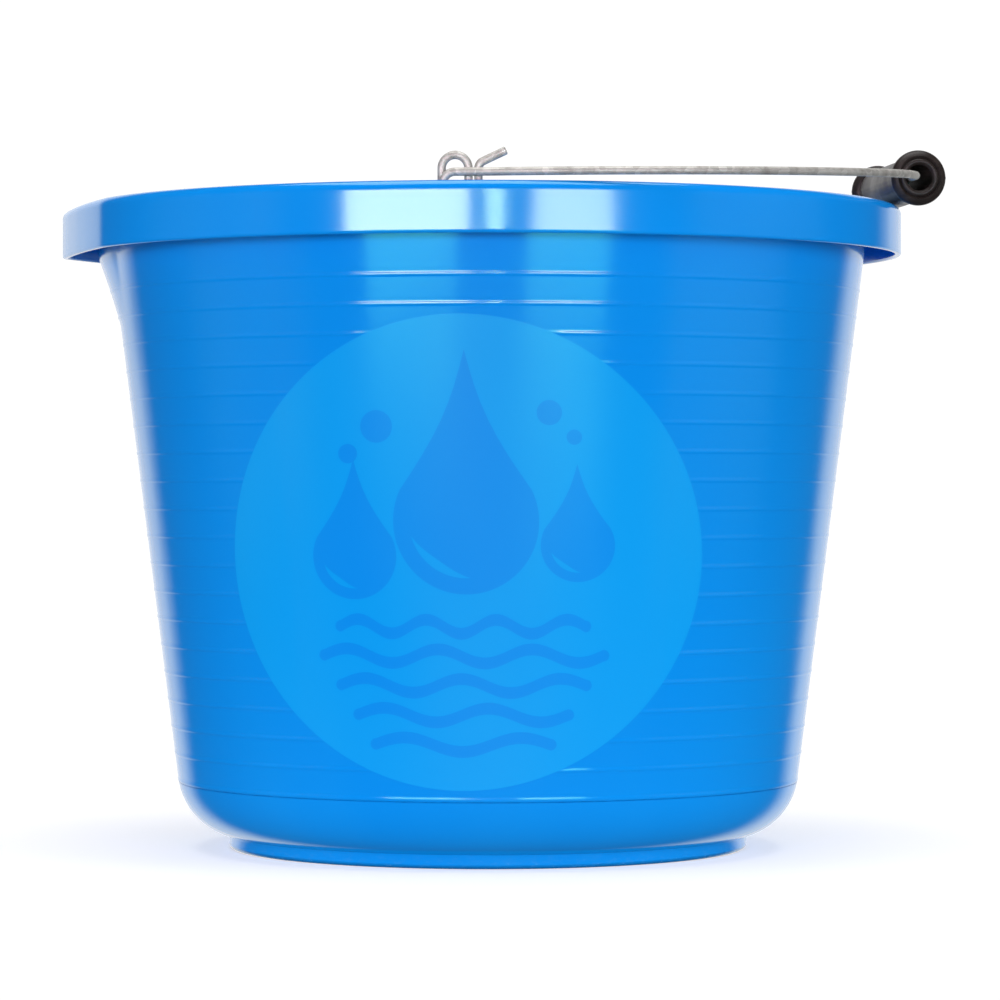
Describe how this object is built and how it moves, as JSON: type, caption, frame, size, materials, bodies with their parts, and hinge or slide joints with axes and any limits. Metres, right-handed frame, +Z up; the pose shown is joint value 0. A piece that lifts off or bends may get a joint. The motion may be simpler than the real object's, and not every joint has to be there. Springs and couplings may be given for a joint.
{
  "type": "wash bucket",
  "caption": "Round tapered plastic wash bucket with a skirted rim, pouring spout and foot ring, a swinging wire bail and a loose plastic hand grip.",
  "frame": {"origin": "on the bucket's axis, in the plane its foot ring stands on", "axes": "+Z up out of the mouth, the pouring spout points to -X, the bail's pivot line runs along Y and the bail lies folded to +X"},
  "size_m": [0.3547, 0.33, 0.2767],
  "materials": {
    "blue_plastic": "glossy injection-moulded polypropylene",
    "galvanised_wire": "dull galvanised steel",
    "black_plastic": "satin black"
  },
  "bodies": {
    "shell": {"bucket": "blue_plastic"},
    "bail": {"bail_wire": "galvanised_wire"},
    "grip": {"hand_grip": "black_plastic"}
  },
  "joints": [
    {"name": "bail_hinge", "type": "hinge", "parent": "shell", "child": "bail", "pos_m": [0, 0, 0.2539], "axis": [0, -1, 0], "range_deg": [0, 124]},
    {"name": "grip_spin", "type": "hinge", "parent": "bail", "child": "grip", "pos_m": [0.164, 0.016, 0.26542], "axis": [-0.1668, 0.986, 0.006], "continuous": true}
  ]
}
